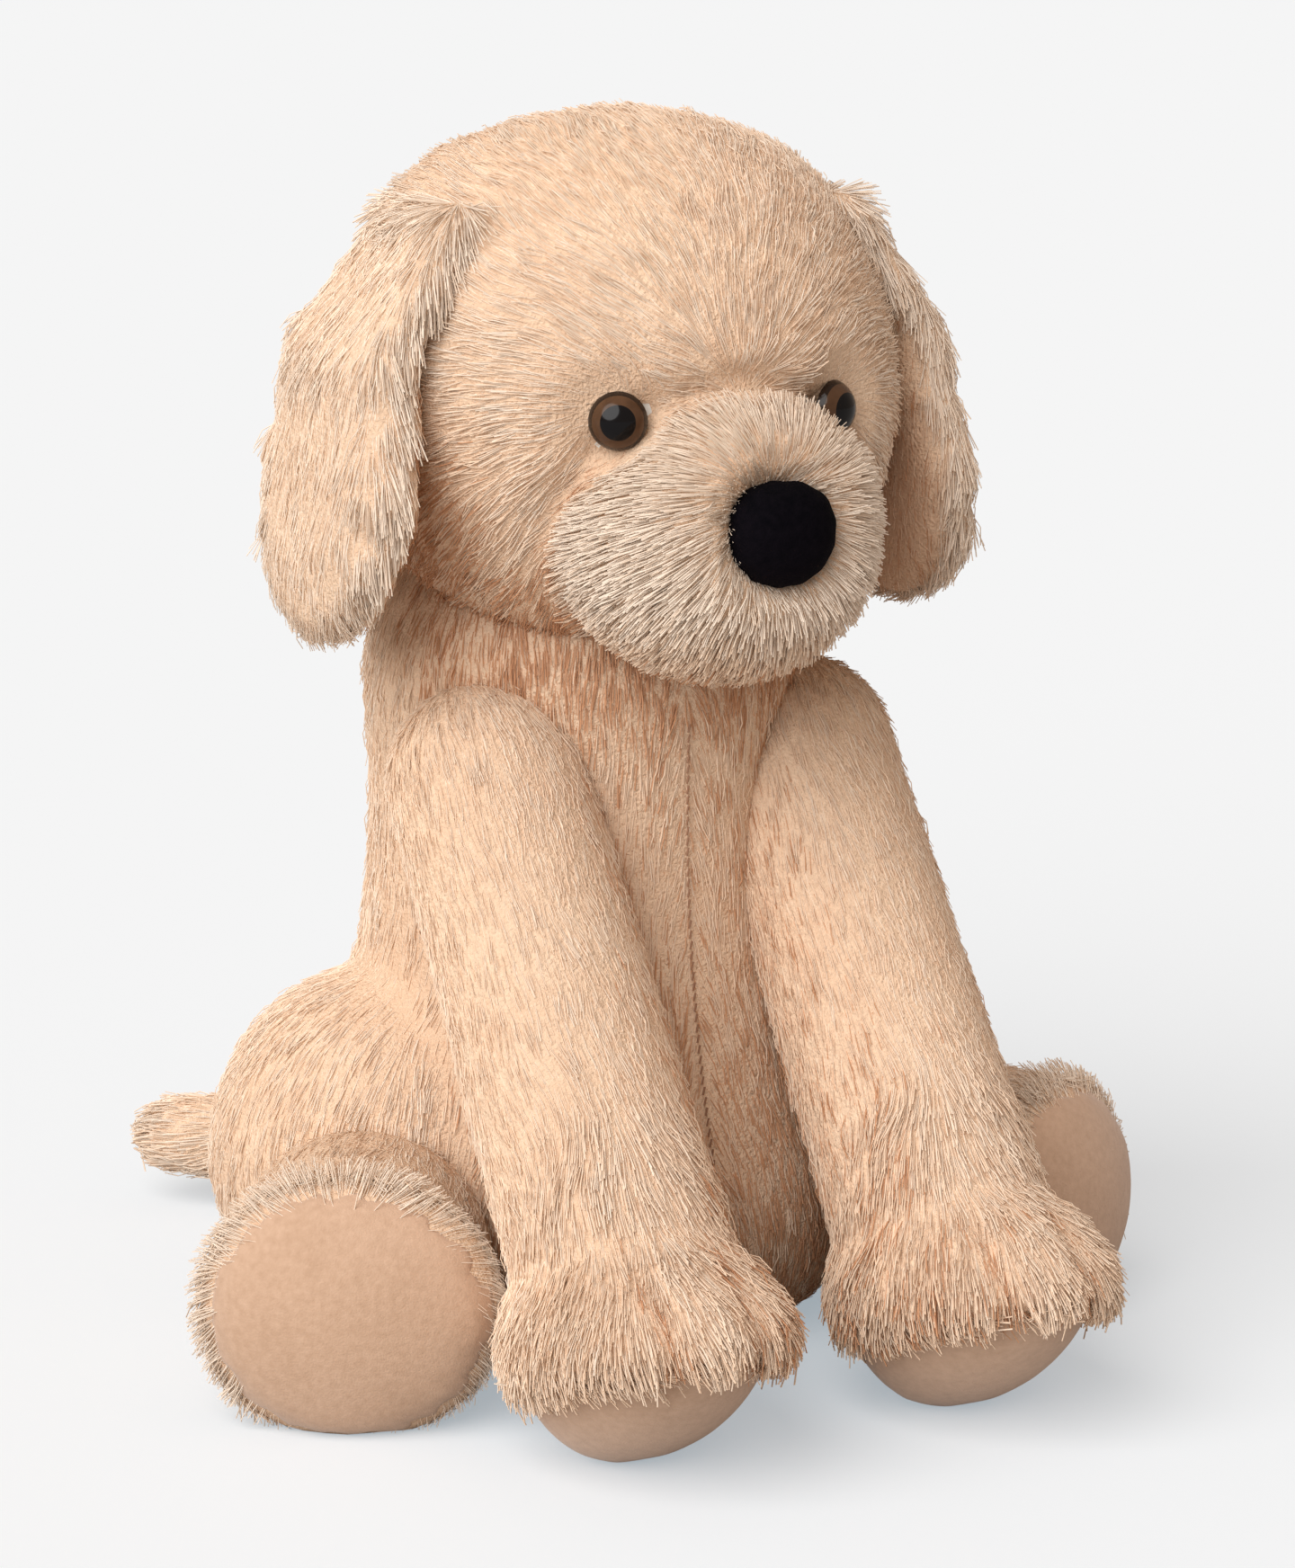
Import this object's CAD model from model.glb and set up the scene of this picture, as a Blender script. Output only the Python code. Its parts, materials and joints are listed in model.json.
# %% [markdown]
# # A sitting plush dog
#
# The toy is sewn from long-pile plush over loose fibre.  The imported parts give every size: this
# script grows a soft skin over each limb, settles and shapes it like stuffed cloth, and plants the
# pile on it strand by strand.  Everything is in metres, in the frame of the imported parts: the dog
# looks along -Y, its left side is +X, and the floor is z = 0.

import json
import math

import bmesh
import bpy
import numpy as np
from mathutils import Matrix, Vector


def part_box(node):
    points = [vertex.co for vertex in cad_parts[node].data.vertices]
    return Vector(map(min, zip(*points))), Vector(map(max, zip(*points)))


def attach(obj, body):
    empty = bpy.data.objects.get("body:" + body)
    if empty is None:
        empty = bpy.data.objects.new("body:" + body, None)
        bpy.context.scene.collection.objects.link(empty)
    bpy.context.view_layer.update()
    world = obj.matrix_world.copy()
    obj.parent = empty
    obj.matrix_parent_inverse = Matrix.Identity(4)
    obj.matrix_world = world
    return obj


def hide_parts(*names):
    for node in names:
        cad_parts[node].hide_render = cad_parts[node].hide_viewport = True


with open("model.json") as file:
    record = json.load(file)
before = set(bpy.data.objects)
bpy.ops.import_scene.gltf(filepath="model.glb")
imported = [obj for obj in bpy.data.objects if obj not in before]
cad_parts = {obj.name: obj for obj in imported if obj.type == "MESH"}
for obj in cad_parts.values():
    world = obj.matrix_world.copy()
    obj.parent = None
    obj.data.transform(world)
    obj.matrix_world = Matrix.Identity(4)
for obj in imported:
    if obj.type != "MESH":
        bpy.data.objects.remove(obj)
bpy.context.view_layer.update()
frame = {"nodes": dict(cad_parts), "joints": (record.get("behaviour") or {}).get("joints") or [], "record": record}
bodies = frame["record"]["behaviour"]["bodies"]
joints = {joint["name"]: joint for joint in frame["joints"]}

# %% [markdown]
# ## Landmarks
#
# A maker works from a few marks chalked on the cloth: the middle of the head, the middle of the
# muzzle, the shoulders and the hips.  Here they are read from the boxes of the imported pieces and
# from the joints, so that the looks follow if the parts change.

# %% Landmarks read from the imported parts
def low(node):
    return np.array(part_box(node)[0])


def high(node):
    return np.array(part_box(node)[1])


def hinge_place(name):
    return np.array(joints[name]["pos_m"])


head_radius = high("head_side_panel_left")[0]
gusset_half, gusset_back, gusset_top = high("head_gusset")
head_centre = np.array([0.0, gusset_back - head_radius, gusset_top - head_radius])
muzzle_half, _, muzzle_top = high("muzzle_panel")
muzzle_centre = np.array([0.0, low("muzzle_panel")[1] + muzzle_half, muzzle_top - 0.92 * muzzle_half])
nose_centre = (low("nose_cover") + high("nose_cover")) / 2
nose_half = (high("nose_cover") - low("nose_cover")) / 2
mouth_height = high("chin_panel")[2]
neck_centre = hinge_place("head_nod")
sole_edge = high("front_sole_left")[2]
shoulder_left = hinge_place("front_leg_lift_left")
hip_left = hinge_place("hind_leg_splay_left")
tail_root = hinge_place("tail_wag")
PAW_HEIGHT = 0.032
paw_side, paw_front, _ = (low("front_sole_left") + high("front_sole_left")) / 2
paw_centre = np.array([paw_side, paw_front, PAW_HEIGHT])
print("head", head_centre.round(4), "radius", round(float(head_radius), 4), "muzzle", muzzle_centre.round(4))

SIDES = {"left": 1.0, "right": -1.0}
FOOT_SPLAY, FOOT_LENGTH = math.radians(28.0), 0.050
foot_way = np.array([math.sin(FOOT_SPLAY), -math.cos(FOOT_SPLAY), 0.0])
LEG_LEAN = math.radians(36.6)
leg_way = np.array([0.0, -math.sin(LEG_LEAN), -math.cos(LEG_LEAN)])
CHEST_TURN = math.radians(52.0)

# %% [markdown]
# ## Finishes
#
# Plush looks redder where it is sheltered, because light bounces from fibre to fibre there.  Each
# strand therefore has one of four plain colours, set straight on the shader: the two deeper ones
# where the coat is sheltered, the lightest one where it stands free.  The cloth under the pile,
# the brushed soles and the velvet nose get their grain from noise in object coordinates.

# %% Fibre colours
def plain(name, colour, roughness, sheen=0.0, specular=0.3):
    material = bpy.data.materials.new(name)
    material.use_nodes = True
    shader = material.node_tree.nodes["Principled BSDF"]
    shader.inputs["Base Color"].default_value = (*colour, 1.0)
    shader.inputs["Roughness"].default_value = roughness
    shader.inputs["Sheen Weight"].default_value = sheen
    shader.inputs["Specular IOR Level"].default_value = specular
    return material


pile_deep = plain("pile_deep", (0.66, 0.360, 0.205), 0.9, specular=0.1)
pile_shade = plain("pile_shade", (0.880, 0.675, 0.505), 0.75, specular=0.2)
pile_mid = plain("pile_mid", (0.890, 0.725, 0.575), 0.7, specular=0.25)
pile_light = plain("pile_light", (0.920, 0.790, 0.660), 0.7, specular=0.3)
thread = plain("seam_thread", (0.34, 0.19, 0.12), 0.8, specular=0.2)
print("fibre colours:", [m.name for m in (pile_deep, pile_shade, pile_mid, pile_light)])


# %% Cloths with a grain
def wired(tree, kind, **inputs):
    """A shader node with its inputs set, or linked where a socket is given."""
    node = tree.nodes.new(kind)
    for name, value in inputs.items():
        if isinstance(value, bpy.types.NodeSocket):
            tree.links.new(value, node.inputs[name])
        else:
            node.inputs[name].default_value = value
    return node


def tinted(tree, value, dark, light, dark_at=0.0, light_at=1.0):
    """A drift from a dark colour to a light one."""
    tint = wired(tree, "ShaderNodeValToRGB", Fac=value)
    for stop, position, colour in zip(tint.color_ramp.elements, (dark_at, light_at), (dark, light)):
        stop.position, stop.color = position, (*colour, 1.0)
    tree.links.new(tint.outputs["Color"], tree.nodes["Principled BSDF"].inputs["Base Color"])


BROAD_GRAIN, BROAD_SHARE = 18.0, 0.55
DARK_AT, LIGHT_AT = 0.36, 0.62


def grained(name, dark, light, grain, roughness, bump, distance, sheen=0.0):
    """A cloth whose colour drifts broadly and whose nap is a fine bump."""
    material = plain(name, light, roughness, sheen, specular=0.2)
    tree = material.node_tree
    place = tree.nodes.new("ShaderNodeTexCoord").outputs["Object"]
    wide, fine, mixed = (
        wired(tree, "ShaderNodeTexNoise", Vector=place, Scale=scale, Detail=detail).outputs["Fac"]
        for scale, detail in ((BROAD_GRAIN, 2.0), (grain, 4.0), (grain * 0.3, 3.0))
    )
    blend, part = (tree.nodes.new("ShaderNodeMath") for _ in range(2))
    blend.operation, part.operation = "MULTIPLY_ADD", "MULTIPLY"
    blend.inputs[1].default_value, part.inputs[1].default_value = BROAD_SHARE, 1.0 - BROAD_SHARE
    tree.links.new(wide, blend.inputs[0])
    tree.links.new(mixed, part.inputs[0])
    tree.links.new(part.outputs[0], blend.inputs[2])
    tinted(tree, blend.outputs[0], dark, light, DARK_AT, LIGHT_AT)
    nap = wired(tree, "ShaderNodeBump", Strength=bump, Distance=distance, Height=fine)
    tree.links.new(nap.outputs["Normal"], tree.nodes["Principled BSDF"].inputs["Normal"])
    return material


backing = grained("plush_backing", (0.78, 0.54, 0.37), (0.86, 0.64, 0.46), 900.0, 0.95, 0.8, 0.002)
suede = grained("brushed_sole", (0.51, 0.335, 0.225), (0.62, 0.425, 0.300), 1500.0, 0.9, 0.35, 0.0006, 0.35)
velvet = grained("nose_cloth", (0.001, 0.001, 0.002), (0.004, 0.003, 0.005), 1600.0, 0.95, 0.5, 0.0006)
velvet.node_tree.nodes["Principled BSDF"].inputs["Specular IOR Level"].default_value = 0.05
print("cloths:", backing.name, suede.name, velvet.name)

# %% [markdown]
# ## Skins
#
# A stuffed limb is a bag of cloth blown out by its filling and held in at its seams.  For each
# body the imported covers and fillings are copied, joined and remeshed into one closed skin.

# %% One closed skin for each body
VOXEL = 0.0042


def mesh_object(name, mesh):
    piece = bpy.data.objects.new(name, mesh)
    bpy.context.scene.collection.objects.link(piece)
    return piece


def applied(piece):
    """The piece's mesh with its modifiers in it, and the modifiers gone."""
    graph = bpy.context.evaluated_depsgraph_get()
    mesh = bpy.data.meshes.new_from_object(piece.evaluated_get(graph))
    piece.modifiers.clear()
    old, piece.data = piece.data, mesh
    bpy.data.meshes.remove(old)
    return piece


def read_all(items, name, width, kind=float):
    """One value of every item, as rows of an array."""
    out = np.empty(len(items) * width, kind)
    items.foreach_get(name, out)
    return out.reshape(-1, width)


def points_of(mesh):
    return read_all(mesh.vertices, "co", 3)


def normals_of(mesh):
    return read_all(mesh.vertex_normals, "vector", 3)


def set_points(mesh, co):
    mesh.vertices.foreach_set("co", co.ravel())
    mesh.update()


def joined_copy(name, nodes):
    """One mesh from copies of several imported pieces."""
    co, faces, start = [], [], 0
    for node in nodes:
        mesh = frame["nodes"][node].data
        co.append(points_of(mesh))
        corners = read_all(mesh.loops, "vertex_index", 1, np.int64)
        faces.append(corners.reshape(-1, 3) + start)
        start += len(mesh.vertices)
    mesh = bpy.data.meshes.new(name)
    mesh.from_pydata(np.concatenate(co), [], np.concatenate(faces).tolist())
    return mesh_object(name, mesh)


def kept_part(name, mesh, points, keep):
    """A new mesh from the faces of another whose points are all kept."""
    renumber = np.cumsum(keep) - 1
    whole = [f.vertices for f in mesh.polygons if all(keep[v] for v in f.vertices)]
    fresh = bpy.data.meshes.new(name)
    fresh.from_pydata(points[keep], [], [[int(renumber[v]) for v in face] for face in whole])
    return fresh


def largest_part(mesh):
    """Keeps the biggest connected part, so that nothing sealed inside stays."""
    one, other = read_all(mesh.edges, "vertices", 2, np.int64).T
    label, before = np.arange(len(mesh.vertices)), None
    while before is None or (label != before).any():
        before = label.copy()
        lowest = np.minimum(label[one], label[other])
        np.minimum.at(label, one, lowest)
        np.minimum.at(label, other, lowest)
        label = label[label]
    names, counts = np.unique(label, return_counts=True)
    keep = label == names[counts.argmax()]
    return mesh if keep.all() else kept_part(mesh.name, mesh, points_of(mesh), keep)


def skin_from(name, nodes, rounds):
    """A closed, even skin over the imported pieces, smoothed a few rounds."""
    piece = joined_copy(name, nodes)
    remesh = piece.modifiers.new("even", "REMESH")
    remesh.mode = "VOXEL"
    remesh.voxel_size = VOXEL
    applied(piece)
    piece.data = largest_part(piece.data)
    smooth = piece.modifiers.new("smooth", "CORRECTIVE_SMOOTH")
    smooth.smooth_type = "LENGTH_WEIGHTED"
    smooth.use_only_smooth = True
    smooth.iterations = rounds
    return applied(piece)


torso_nodes = bodies["torso"] + bodies["neck"]
head_nodes = [n for n in bodies["head"] if n.startswith(("head", "muzzle", "chin"))]
skins = {"torso": skin_from("torso_skin", torso_nodes, 8), "head": skin_from("head_skin", head_nodes, 3)}
for side in SIDES:
    for limb in (f"front_leg_{side}", f"hind_leg_{side}", f"ear_{side}"):
        skins[limb] = skin_from(f"{limb}_skin", bodies[limb], 4)
skins["tail"] = skin_from("tail_skin", bodies["tail"], 4)
print("skins:", {body: len(piece.data.vertices) for body, piece in skins.items()})

# %% Helpers for directions and soft edges
DOWN = np.array([0.0, 0.0, -1.0])
UP = -DOWN


def unit(v):
    return v / np.maximum(np.linalg.norm(v, axis=-1, keepdims=True), 1e-9)


def along_surface(way, normal):
    way = np.broadcast_to(way, normal.shape)
    return unit(way - normal * (way * normal).sum(1, keepdims=True))


def ramp(value, start, end):
    """0 before start, 1 after end, smooth between."""
    t = np.clip((value - start) / (end - start), 0.0, 1.0)
    return t * t * (3 - 2 * t)


def near(distance, width):
    """1 on a line or at a point, fading over a width."""
    return np.exp(-((distance / width) ** 2))


def across(points, side):
    """The points with the right side's mirrored onto the left."""
    return points * np.array([side, 1.0, 1.0])

# %% [markdown]
# ## Stuffing
#
# Filling pushes the cloth out between its seams and the seams pull it back in.  A cloth simulation
# settles each closed skin under a small pressure, without gravity and with its seam lines held.  The
# legs and the tail hardly move in it, the ears and the torso swell most, and no point moves further
# than a limit, so that the toy keeps its size.  The creases between the toes are pressed in first.

# %% Seam lines and toe creases
SEAM_WIDTH = 0.0035
TOE_SPREAD = 0.011
CREASE_WIDTH, CREASE_DEPTH = 0.0032, 0.0030


def toe_creases(points):
    """How deep the toe creases are, 0 to 1, on points mirrored to the left side."""
    from_crease = np.abs(np.abs(points[:, 0] - paw_centre[0]) - TOE_SPREAD)
    return near(from_crease, CREASE_WIDTH) * ramp(paw_centre[1] - 0.008 - points[:, 1], 0.0, 0.016)


def side_sign(body):
    return -1.0 if body.endswith("right") else 1.0


def turn_of(points):
    """The angle round the body, 0 at the middle of the chest."""
    return np.arctan2(np.abs(points[:, 0]), -points[:, 1])


def seam_hold(body, points):
    """1 on a body's seam lines, fading to 0 between them."""
    twin = across(points, side_sign(body))
    x, y, z = points.T
    if body == "head":
        at_face = y < head_centre[1] - head_radius * 0.8
        mouth = np.where(at_face, np.abs(z - mouth_height), 1.0)
        gaps = [np.abs(np.abs(x) - gusset_half), mouth]
    elif body == "torso":
        chest = np.where(y < 0, np.abs(x), 1.0)
        gaps = [chest, 0.06 * np.abs(turn_of(points) - CHEST_TURN), z]
    elif body.startswith("front"):
        gaps = [np.abs(twin[:, 0] - paw_side), np.abs(twin[:, 2] - sole_edge)]
    elif body.startswith("hind"):
        end = np.abs((twin - hip_left) @ foot_way - FOOT_LENGTH + 0.001)
        gaps = [np.abs(twin[:, 2] - hip_left[2]), end, twin[:, 2]]
    elif body.startswith("ear"):
        gaps = [np.abs(twin[:, 0] - twin[:, 0].mean())]
    else:
        gaps = [np.abs(z - tail_root[2])]
    return near(np.min(gaps, axis=0), SEAM_WIDTH)


for side, sign in SIDES.items():
    mesh = skins[f"front_leg_{side}"].data
    points = points_of(mesh)
    press = toe_creases(across(points, sign))[:, None] * (points[:, 2:] > sole_edge)
    set_points(mesh, points - normals_of(mesh) * press * CREASE_DEPTH)


# %% Swell every skin with the cloth simulation
FRAMES, SWELL_LIMIT, HOLD_LEAST = 20, 0.0022, 0.02
CLOTH = {
    "quality": 4,
    "mass": 0.01,
    "tension_stiffness": 12.0,
    "compression_stiffness": 12.0,
    "bending_stiffness": 0.4,
    "use_pressure": True,
    "uniform_pressure_force": 15.0,
    "vertex_group_mass": "seams",
}


def stuff_skins():
    rest = {}
    for body, piece in skins.items():
        points = points_of(piece.data)
        rest[body] = points
        hold = piece.vertex_groups.new(name="seams")
        for index, weight in enumerate(seam_hold(body, points)):
            if weight > HOLD_LEAST:
                hold.add([index], float(weight), "REPLACE")
        cloth = piece.modifiers.new("cloth", "CLOTH")
        for name, value in CLOTH.items():
            setattr(cloth.settings, name, value)
        cloth.settings.effector_weights.gravity = 0.0
        cloth.collision_settings.use_collision = False
        cloth.point_cache.frame_start, cloth.point_cache.frame_end = 1, FRAMES
    scene = bpy.context.scene
    for number in range(1, FRAMES + 1):
        scene.frame_set(number)
    for body, piece in skins.items():
        applied(piece)
        piece.vertex_groups.clear()
        move = points_of(piece.data) - rest[body]
        far = np.linalg.norm(move, axis=1, keepdims=True)
        move *= np.minimum(1.0, SWELL_LIMIT / np.maximum(far, 1e-9))
        points = rest[body] + move
        points[:, 2] = np.maximum(points[:, 2], 0.0)
        set_points(piece.data, points)
        print("swell of", body, (far.mean() * 1000).round(2), "mm before the limit")
    scene.frame_set(1)


stuff_skins()

# %% [markdown]
# ## The way the pile lies
#
# Plush is woven with its pile leaning one way, and the maker turns each panel so that it strokes
# downwards, away from the face and towards the paws.  Every point of a skin gets five values:
# `comb`, the way its strands lean, `pile`, how long they are compared with the full pile, `cover`,
# how thickly they stand, `lift`, how far the brush has raised them, and `shelter`, how little they
# are handled, because sheltered pile keeps its deeper colour.  The pile is clipped round the eyes
# and the nose and worn thin in the seams, and no strands grow on the soles or where one limb hides
# another.

# %% Where the eyes are
EYE_TURN, EYE_RISE = math.radians(26.0), -0.001
eye_look = {
    side: np.array([sign * math.sin(EYE_TURN), -math.cos(EYE_TURN), 0.0]) for side, sign in SIDES.items()
}
eye_middle = {side: head_centre + look * head_radius + UP * EYE_RISE for side, look in eye_look.items()}
print("eyes at", {side: place.round(4) for side, place in eye_middle.items()})


# %% Head and muzzle
muzzle_size = np.array([muzzle_half, 0.040, 0.036])
bridge = head_centre + np.array([0.0, -head_radius, 0.004])


def in_muzzle(points):
    """About 0 in the middle of the muzzle, 1 on its surface, more outside."""
    return np.sqrt((((points - muzzle_centre) / muzzle_size) ** 2).sum(1))


def from_place(points, place):
    """How far each point is from a place."""
    return np.linalg.norm(points - place, axis=1)


def head_lie(points, normals):
    x, y, z = points.T
    reach = in_muzzle(points)
    muzzle = ramp(reach, 1.16, 1.03)[:, None]
    below_middle = head_centre[2] - z
    skull_way = unit(points - bridge) + 0.5 * DOWN * ramp(below_middle, -0.01, 0.05)[:, None]
    muzzle_way = unit(points - nose_centre) + 0.25 * DOWN
    way = skull_way * (1 - muzzle) + muzzle_way * muzzle
    pile = 0.92 - 0.04 * muzzle[:, 0]
    from_nose = from_place(points, nose_centre)
    pile *= 0.7 + 0.3 * ramp(from_nose, 0.013, 0.024)
    cover = ramp(from_nose, 0.0115, 0.0130)
    for place in eye_middle.values():
        from_eye = from_place(points, place)
        close = near(from_eye, 0.015)[:, None]
        way = way * (1 - close) + unit(points - place) * 1.2 * close
        pile *= 0.42 + 0.58 * ramp(from_eye, 0.0085, 0.021)
        cover *= ramp(from_eye, 0.0070, 0.0082)
    cover *= ramp(from_place(points, neck_centre), 0.064, 0.068)
    rim = near(reach - 1.0, 0.09) * muzzle[:, 0]
    pile *= 1 + 0.18 * rim
    pile *= 1 - 0.45 * near(reach - 1.13, 0.07) * (1 - muzzle[:, 0])
    crease = near(reach - 1.13, 0.08) * (y < head_centre[1] - 0.04)
    beside_ear = ramp(np.abs(x), 0.050, 0.068) * ramp(below_middle, -0.02, 0.03)
    below = ramp(-normals[:, 2], 0.25, 0.85)
    shelter = np.clip(0.7 * crease + 0.8 * beside_ear + 0.9 * below, 0.0, 1.0) - 0.5 * muzzle[:, 0]
    return along_surface(way, normals), pile, cover, 0.35 * rim, shelter


def head_zones(middles):
    """1 gusset, 2 and 3 left and right side, 4 muzzle, 5 chin."""
    x, y, z = middles.T
    zones = np.where(x > gusset_half, 2, np.where(x < -gusset_half, 3, 1))
    low_face = in_muzzle(middles) < 1.08
    zones = np.where(low_face & (z >= mouth_height), 4, zones)
    throat = (zones == 1) & (z < head_centre[2] - 0.03) & (y < head_centre[1])
    return np.where((low_face & (z < mouth_height)) | throat, 5, zones)


# %% Body
def from_axis(points, start, way):
    """How far each point is from a line that starts at a joint."""
    run = np.clip((points - start) @ way, 0.0, None)[:, None]
    return np.linalg.norm(points - start - run * way, axis=1)


def torso_lie(points, normals):
    x, y, z = points.T
    outward = unit(points * np.array([1.0, 1.0, 0.0]))
    low_down = ramp(0.035 - z, 0.0, 0.03)[:, None]
    parting = near(x, 0.005) * np.sign(x) * (y < 0)
    way = DOWN + 0.25 * outward + outward * 1.6 * low_down + parting[:, None] * np.array([0.5, 0.0, 0.0])
    seam = near(x, 0.0016) * (y < 0) * ramp(z, 0.05, 0.08)
    side_seam = near(turn_of(points) - CHEST_TURN, 0.03)
    pile = 0.9 * (1 - 0.55 * seam) * (1 - 0.2 * side_seam) * (1 - 0.45 * low_down[:, 0])
    cover = ramp(z, 0.001, 0.006) * (1 - 0.75 * seam)
    under_head = from_place(points, neck_centre) < 0.066
    from_head = from_place(points, head_centre)
    cover *= np.where(under_head, ramp(from_head, 0.068, 0.078), 1.0)
    for side, sign in SIDES.items():
        twin = across(points, sign)
        from_leg = from_axis(twin, shoulder_left, leg_way)
        from_foot = from_axis(twin, hip_left, foot_way)
        clear = np.minimum(ramp(from_leg, 0.0245, 0.0275), ramp(from_foot, 0.0355, 0.038))
        cover *= 0.25 + 0.75 * clear
        pile *= 0.4 + 0.6 * clear
    front = ramp(-y, 0.0, 0.03) * ramp(0.075 - np.abs(x), 0.0, 0.03)
    shelter = front * (0.50 + 0.35 * ramp(0.13 - z, 0.0, 0.06))
    under_chin = ramp(0.110 - from_head, 0.0, 0.03) * ramp(-y, -0.03, 0.03)
    shelter = np.clip(shelter + 0.85 * under_chin, 0.0, 1.0)
    return along_surface(way, normals), pile, cover, 0.0 * pile, shelter


haunch_centre = np.array([0.060, 0.006, 0.0525])
HAUNCH_RADIUS = 0.054


def torso_zones(middles):
    """1 and 2 chest, 3 and 4 back, 5 and 6 haunches, left before right."""
    left = middles[:, 0] > 0
    zones = np.where(turn_of(middles) < CHEST_TURN, np.where(left, 1, 2), np.where(left, 3, 4))
    for zone, sign in ((5, 1.0), (6, -1.0)):
        from_haunch = from_place(across(middles, sign), haunch_centre)
        zones = np.where(from_haunch < HAUNCH_RADIUS, zone, zones)
    return zones


# %% Legs, ears and tail
def combed(way, normals, sign):
    """A way given on the left side, laid on the skin of either side."""
    return across(along_surface(way, across(normals, sign)), sign)


def front_leg_lie(points, normals, sign):
    twin = across(points, sign)
    _, y, z = points.T
    ankle = paw_centre + np.array([0.0, 0.030, 0.030])
    paw = ramp(paw_centre[1] + 0.030 - y, 0.0, 0.02)[:, None]
    flare = ramp(sole_edge + 0.016 - z, 0.0, 0.014)
    spread = unit((twin - paw_centre) * np.array([1.0, 1.0, 0.0]))
    paw_way = 0.8 * unit(twin - ankle) + 0.7 * DOWN
    paw_way = paw_way * (1 - flare[:, None]) + (1.2 * spread + 0.3 * DOWN) * flare[:, None]
    way = leg_way * (1 - paw) + paw_way * paw
    crease = toe_creases(twin)
    pile = (0.85 + 0.35 * paw[:, 0]) * (1 - 0.4 * crease)
    cover = ramp(z, sole_edge - 0.001, sole_edge + 0.001)
    inside = (twin[:, 0] < shoulder_left[0] - 0.008) & (y > shoulder_left[1] - 0.012)
    inside &= from_place(twin, shoulder_left) < 0.045
    cover = cover * np.where(inside, 0.3, 1.0)
    facing_in = ramp(-across(normals, sign)[:, 0], 0.1, 0.8)
    shelter = np.clip(0.20 + 0.25 * facing_in + 0.6 * crease, 0.0, 1.0)
    return combed(way, normals, sign), pile, cover, paw[:, 0] * (0.10 + 0.30 * flare), shelter


def hind_leg_lie(points, normals, sign):
    twin = across(points, sign)
    run = (twin - hip_left) @ foot_way
    outward = unit(twin - hip_left - run[:, None] * foot_way)
    rim = ramp(run, FOOT_LENGTH - 0.022, FOOT_LENGTH - 0.002)[:, None]
    way = foot_way * (1 - 1.6 * rim) + 0.35 * DOWN
    pile = 0.85 + 0.10 * rim[:, 0]
    low_down = ramp(0.010 - points[:, 2], 0.0, 0.008)
    pile *= 1 - 0.4 * low_down
    cover = 1.0 - ramp(run, FOOT_LENGTH - 0.0025, FOOT_LENGTH - 0.001)
    cover *= 1 - 0.8 * ramp(-run, 0.0, 0.012)
    cover *= ramp(points[:, 2], 0.0005, 0.002)
    at_floor = ramp(0.016 - points[:, 2], 0.0, 0.008) * rim[:, 0]
    cover *= 1 - 0.8 * at_floor
    shelter = 0.5 * ramp(0.02 - points[:, 2], 0.0, 0.02) - 0.4 * rim[:, 0]
    inner_side = ramp(-(outward @ np.array([-foot_way[1], foot_way[0], 0.0])), 0.2, 0.8) * rim[:, 0]
    pile *= 1 - 0.45 * inner_side
    return combed(way, normals, sign), pile, cover, 0.4 * rim[:, 0], shelter


def ear_lie(points, normals, sign):
    twin = across(points, sign)
    middle = np.array([twin[:, 0].mean(), head_centre[1], head_centre[2] - 0.022])
    edge = unit((twin - middle) * np.array([0.0, 1.0, 1.0]))
    rim = 1 - np.abs(across(normals, sign)[:, 0])
    way = DOWN + 0.55 * edge * rim[:, None] + 0.12 * np.array([0.0, 1.0, 0.0])
    pile = 0.95 + 0.1 * rim
    inner = across(normals, sign)[:, 0] < -0.5
    cover = np.where(inner, 0.55, 1.0)
    pile = np.where(inner, 0.6, pile)
    pile *= 1 - 0.25 * ramp(middle[2] - 0.02 - points[:, 2], 0.0, 0.02)
    return combed(way, normals, sign), pile, cover, 0.3 * rim, 0.9 * inner - 0.3


TAIL_TURN = math.radians(52.0)
tail_way = np.array([-math.sin(TAIL_TURN), math.cos(TAIL_TURN), 0.0])


def tail_lie(points, normals):
    run = (points - tail_root) @ tail_way
    pile = 0.85 + 0.15 * ramp(run, 0.06, 0.1)
    cover = ramp(run, -0.004, 0.006) * ramp(points[:, 2], 0.001, 0.004)
    return along_surface(tail_way + 0.1 * DOWN, normals), pile, cover, 0.0 * pile, 0.0 * pile


# %% Write the lie of the pile on each skin
LIE = ("pile", "cover", "lift", "shelter")


def write_lie(piece, lie, zones):
    mesh = piece.data
    comb, *values = lie(points_of(mesh), normals_of(mesh))
    combing = mesh.attributes.new("comb", "FLOAT_VECTOR", "POINT")
    combing.data.foreach_set("vector", comb.astype(np.float32).ravel())
    for name, value in zip(LIE, values):
        mesh.attributes.new(name, "FLOAT", "POINT").data.foreach_set("value", value.astype(np.float32))
    middles = np.array([face.center for face in mesh.polygons])
    zone = mesh.attributes.new("zone", "INT", "FACE")
    zone.data.foreach_set("value", zones(middles).astype(np.int32))


def limb_zones(limb, axis, middles):
    """Two zones, one on each side of a limb's long seam."""
    seam = {"front_leg": paw_side, "hind_leg": hip_left[2], "ear": middles[:, axis].mean()}[limb]
    return np.where(middles[:, axis] > seam, 1, 2)


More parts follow.
